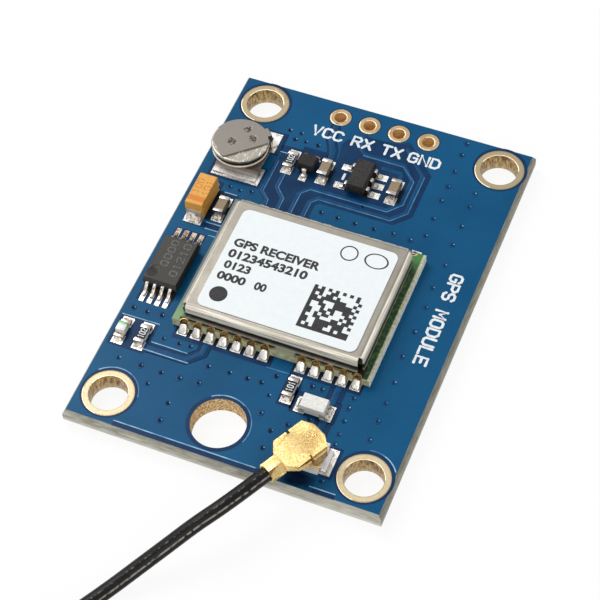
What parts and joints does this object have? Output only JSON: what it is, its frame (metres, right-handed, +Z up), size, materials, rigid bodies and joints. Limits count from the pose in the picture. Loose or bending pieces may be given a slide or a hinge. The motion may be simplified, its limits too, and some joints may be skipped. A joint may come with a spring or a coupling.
{
  "type": "gps module",
  "caption": "Small satellite positioning receiver board with a shielded module, backup cell, header holes and a plugged-in antenna lead.",
  "frame": {"origin": "middle of the board's underside", "axes": "+Z up from the board's underside to its parts, +Y along the board's long side towards the header holes, +X along its short side"},
  "size_m": [0.028, 0.064, 0.0041],
  "materials": {
    "mask_blue": "glossy solder mask on glass-fibre board",
    "gold_plate": "thin pale gold plating",
    "tin": "bright tin and solder",
    "carrier_green": "green solder mask on thin board",
    "can_metal": "satin nickel-silver sheet",
    "label_paper": "smooth white label",
    "mould_black": "moulded resin",
    "memory_grey": "moulded resin, dusty",
    "ceramic_white": "fired white ceramic",
    "ceramic_tan": "fired brown ceramic",
    "cell_steel": "satin steel",
    "seal_black": "black seal",
    "tantalum_yellow": "moulded yellow resin",
    "lens_clear": "clear cast resin",
    "socket_white": "off-white moulding",
    "plug_gold": "gold-plated sheet",
    "lead_black": "black fluoropolymer jacket"
  },
  "bodies": {
    "root": {"board": "mask_blue", "mounting_hole_plating": "gold_plate", "header_hole_plating": "gold_plate", "surface_lands": "tin", "receiver_carrier": "carrier_green", "castellation_plating": "gold_plate", "receiver_solder": "tin", "shield_can": "can_metal", "shield_label": "label_paper", "receiver_chip": "mould_black", "receiver_crystal": "cell_steel", "antenna_filter": "ceramic_tan", "cell_case": "cell_steel", "cell_gasket": "seal_black", "cell_cap": "cell_steel", "cell_top_tab": "cell_steel", "cell_bottom_tab": "tin", "tantalum_body": "tantalum_yellow", "tantalum_terminals": "tin", "capacitor_bodies": "ceramic_tan", "capacitor_ends": "tin", "resistor_bodies": "ceramic_white", "resistor_coats": "mould_black", "resistor_ends": "tin", "led_base": "socket_white", "led_lens": "lens_clear", "led_ends": "gold_plate", "memory_body": "memory_grey", "memory_leads": "tin", "regulator_body": "mould_black", "regulator_leads": "tin", "diode_body": "mould_black", "diode_leads": "tin", "inductor_body": "ceramic_white", "inductor_ends": "tin", "chip_solder": "tin", "socket_base": "socket_white", "socket_shell": "plug_gold", "socket_pin": "plug_gold", "plug_shell": "plug_gold", "plug_insulator": "socket_white", "plug_contact": "plug_gold", "antenna_lead": "lead_black", "antenna_lead_coil": "lead_black", "antenna_lead_tail": "lead_black", "lead_tie": "lead_black", "far_plug_shell": "plug_gold", "far_plug_insulator": "socket_white", "far_plug_contact": "plug_gold"}
  },
  "joints": []
}
